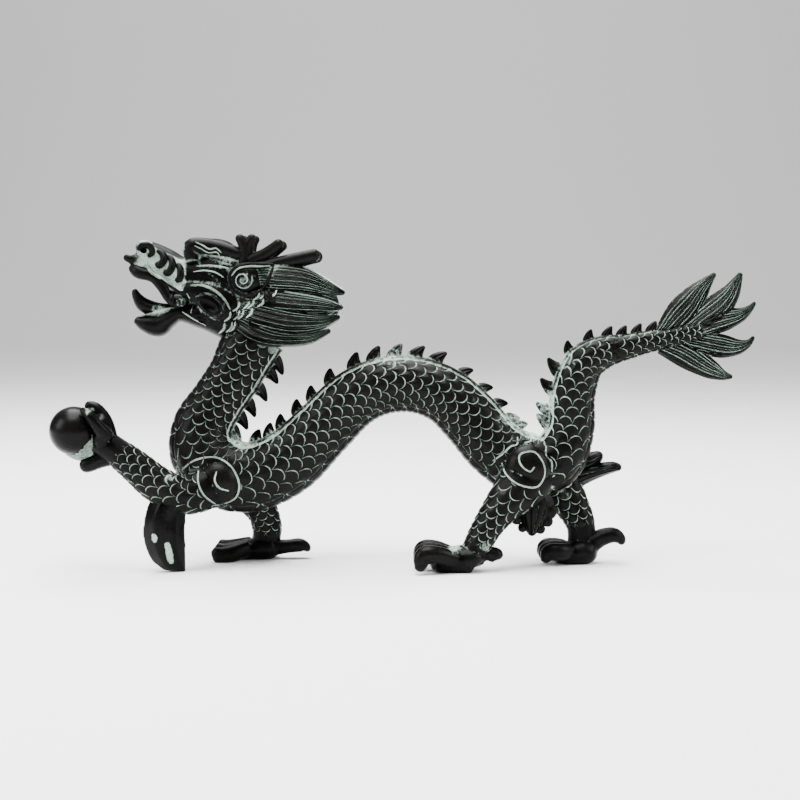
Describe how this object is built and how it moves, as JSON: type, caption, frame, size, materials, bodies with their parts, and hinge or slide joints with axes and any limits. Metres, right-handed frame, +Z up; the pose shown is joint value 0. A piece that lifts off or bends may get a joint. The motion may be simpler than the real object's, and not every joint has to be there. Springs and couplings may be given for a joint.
{
  "type": "dragon sculpture",
  "caption": "Small cast bronze dragon walking with a raised paw that holds a pearl, body in an S curve, scaled, with antlers, mane, back spikes and a flame-finned tail.",
  "frame": {"origin": "middle of the bounding box, on the ground plane under the soles", "axes": "+X towards the tail, -X the way the head looks, -Y the side of the raised paw, +Z up"},
  "size_m": [0.2197, 0.0451, 0.1051],
  "materials": {
    "bronze": "dark brown-black patinated bronze, rubbed on the high places, pale green-white verdigris in the carving"
  },
  "bodies": {
    "root": {"dragon": "bronze"}
  },
  "joints": []
}
